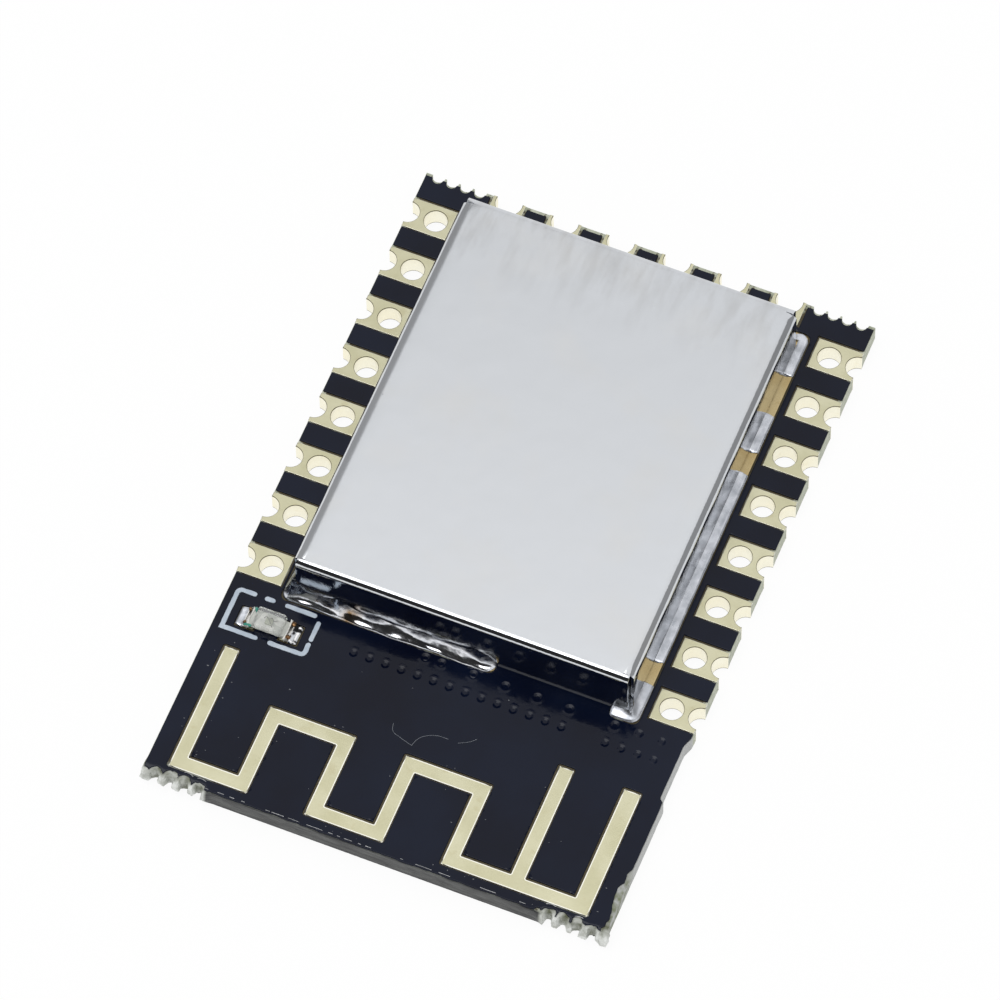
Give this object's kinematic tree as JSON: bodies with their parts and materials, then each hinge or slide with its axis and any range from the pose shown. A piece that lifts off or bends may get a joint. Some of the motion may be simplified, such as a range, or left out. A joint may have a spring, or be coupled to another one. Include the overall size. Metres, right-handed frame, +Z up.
{
  "type": "wireless radio module",
  "caption": "Small castellated radio board with a meander antenna, a folded metal shield over its chips, an indicator lamp and plated half-holes along three edges.",
  "frame": {"origin": "centre of the underside, on the face that lies on the carrier board", "axes": "+X across the board towards the antenna feed side, +Y along the board away from the antenna, +Z up out of the shield"},
  "size_m": [0.016, 0.024, 0.0029],
  "materials": {
    "laminate": "bare glass-epoxy laminate, pale grey-green, rough where it was broken off",
    "solder_mask": "blue-black solder mask, semi-gloss with fine orange peel",
    "gold_plating": "pale matt gold plating over copper",
    "copper": "plated copper",
    "shield_sheet": "satin tin-plated sheet with fine grain and light smudges",
    "solder": "bright tin solder, wavy",
    "legend_ink": "pale blue-white printed ink",
    "lamp_body": "white lamp base",
    "tin": "tin-plated metal",
    "die": "light-emitting die",
    "clear_resin": "clear cast resin",
    "polarity_ink": "green polarity print",
    "chip_package": "black moulded epoxy",
    "ceramic": "dark fired ceramic",
    "lid_metal": "plated steel lid",
    "capacitor_body": "tan fired ceramic",
    "resistor_body": "black glazed ceramic chip",
    "inductor_body": "pale blue ceramic chip"
  },
  "bodies": {
    "root": {"substrate": "laminate", "top_mask": "solder_mask", "bottom_mask": "solder_mask", "antenna_trace": "gold_plating", "left_pads": "gold_plating", "right_pads": "gold_plating", "end_pads": "gold_plating", "ground_vias": "copper", "shield_land": "gold_plating", "shield_can": "shield_sheet", "shield_solder": "solder", "lamp_outline": "legend_ink", "lamp_lands": "gold_plating", "lamp_base": "lamp_body", "lamp_terminals": "tin", "lamp_die": "die", "lamp_lens": "clear_resin", "lamp_polarity_mark": "polarity_ink", "lamp_solder": "solder", "part_lands": "gold_plating", "processor": "chip_package", "processor_terminals": "tin", "memory_chip": "chip_package", "memory_leads": "tin", "crystal_case": "ceramic", "crystal_lid": "lid_metal", "capacitors": "capacitor_body", "capacitor_terminals": "tin", "resistors": "resistor_body", "resistor_terminals": "tin", "inductors": "inductor_body", "inductor_terminals": "tin"}
  },
  "joints": []
}
